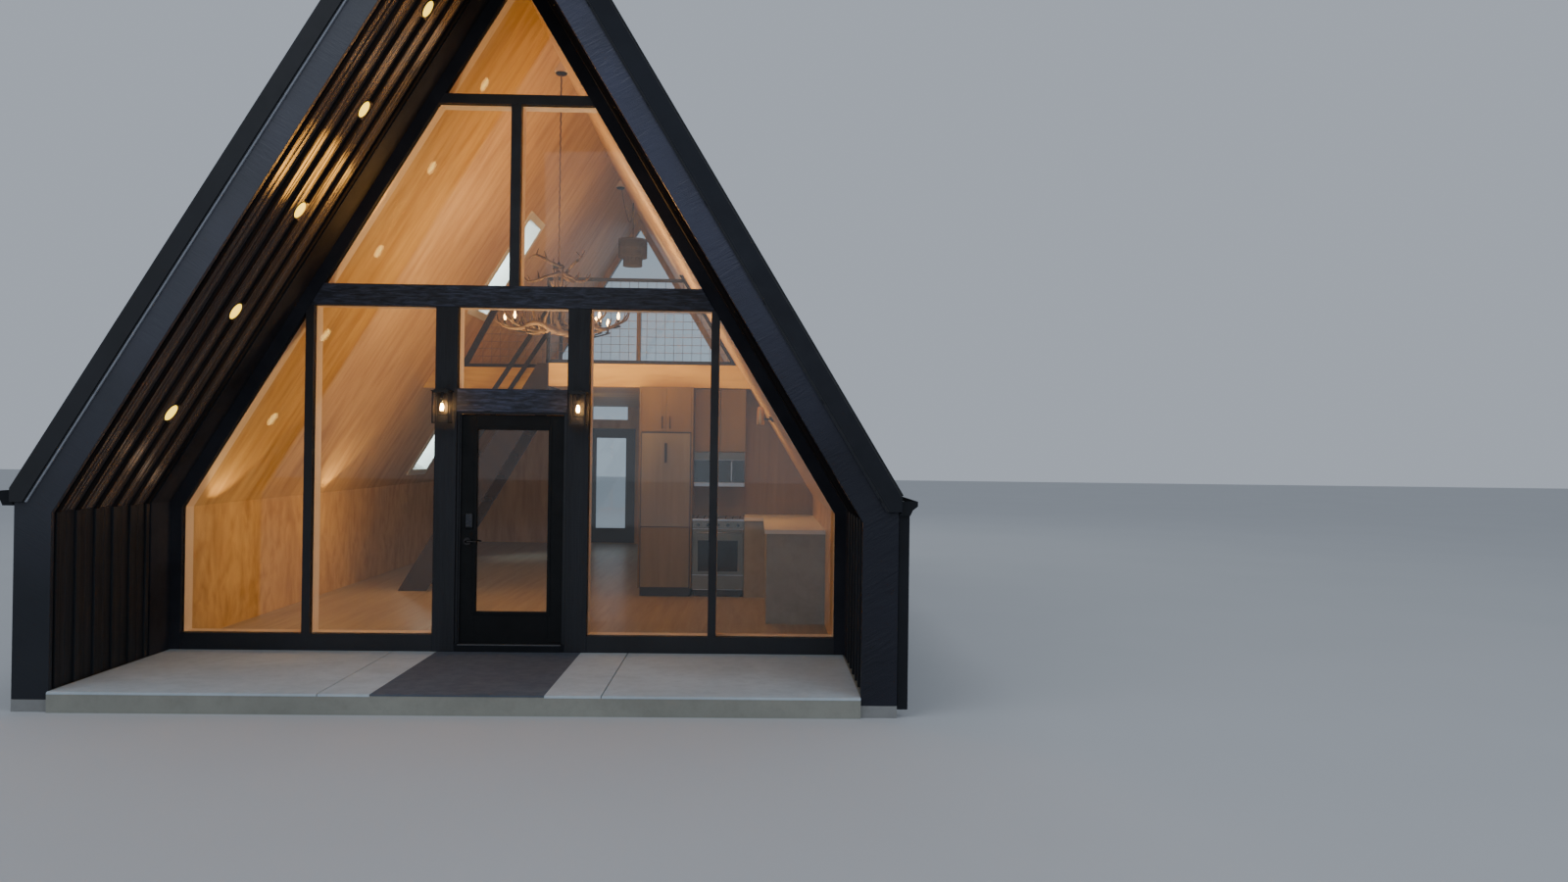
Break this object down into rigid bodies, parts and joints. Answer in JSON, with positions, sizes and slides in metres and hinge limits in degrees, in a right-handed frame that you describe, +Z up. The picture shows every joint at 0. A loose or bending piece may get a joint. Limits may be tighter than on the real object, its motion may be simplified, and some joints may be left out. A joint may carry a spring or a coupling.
{
  "type": "a-frame cabin",
  "caption": "Dark timber a-frame cabin with a recessed glazed gable, covered concrete porch, lantern-lit door and a lofted wood-lined room.",
  "frame": {"origin": "middle of the roof's footprint at ground level", "axes": "+Z up, -Y toward the glazed front, +X to the right seen from the front"},
  "size_m": [6.634, 13.164, 6.8975],
  "materials": {
    "concrete": "matt, broomed",
    "dark_strip": "matt",
    "dark_wood": "satin stain",
    "fascia_paint": "satin paint",
    "roof_metal": "satin",
    "light_metal": "satin",
    "black_frame": "satin",
    "beam_wood": "rough sawn, stained",
    "glass": "clear",
    "light_wood": "satin lacquer",
    "black_metal": "satin",
    "gutter_metal": "satin",
    "dark_stain": "satin stain",
    "pale_trim": "satin paint",
    "oak": "satin lacquer",
    "steel": "brushed",
    "counter_panel": "matt",
    "counter_white": "polished",
    "lamp_glow": "frosted, lit",
    "antler": "matt"
  },
  "bodies": {
    "shell": {"foundation": "concrete", "porch_slab": "concrete", "entry_strip": "dark_strip", "floor_deck": "light_wood", "knee_wall_left": "dark_wood", "knee_wall_right": "dark_wood", "roof_left": "dark_wood", "roof_right": "dark_wood", "roof_cover_left": "roof_metal", "roof_cover_right": "roof_metal", "ridge_cap": "roof_metal", "fascia_left": "fascia_paint", "fascia_right": "fascia_paint", "rear_fascia": "dark_wood", "drip_edge": "light_metal", "porch_cladding_left": "dark_wood", "porch_cladding_right": "dark_wood", "rake_frame_left": "black_frame", "rake_frame_right": "black_frame", "sill_bands": "black_frame", "posts": "beam_wood", "main_beam": "beam_wood", "side_mullions": "black_frame", "upper_bars": "black_frame", "door_header": "beam_wood", "panes_lower": "glass", "panes_upper": "glass", "inner_frame": "light_wood", "threshold": "dark_strip", "door_frame": "black_frame", "door_hinges": "black_metal", "gutters": "gutter_metal", "downspouts": "gutter_metal", "lining_left": "light_wood", "lining_right": "light_wood", "rear_wall": "dark_wood", "rear_lining": "light_wood", "rear_door": "black_frame", "rear_panes": "glass", "skylight": "black_frame", "skylight_reveal": "pale_trim", "skylight_pane": "glass", "loft_floor": "light_wood", "loft_rail": "dark_stain", "ladder": "dark_stain", "ladder_rails": "dark_stain", "kitchen_wall": "light_wood", "cabinets": "oak", "appliances": "steel", "counter_base": "counter_panel", "counter_top": "counter_white", "downlights": "lamp_glow", "lanterns": "black_metal", "lantern_bulbs": "lamp_glow", "chandelier": "antler", "small_lights": "antler"},
    "door": {"door_leaf": "black_frame", "door_glass": "glass", "door_hardware": "black_metal"}
  },
  "joints": [
    {"name": "front_door", "type": "hinge", "parent": "shell", "child": "door", "pos_m": [0.46, -4.6865, 1.2], "axis": [0, 0, -1], "range_deg": [0, 90]}
  ]
}
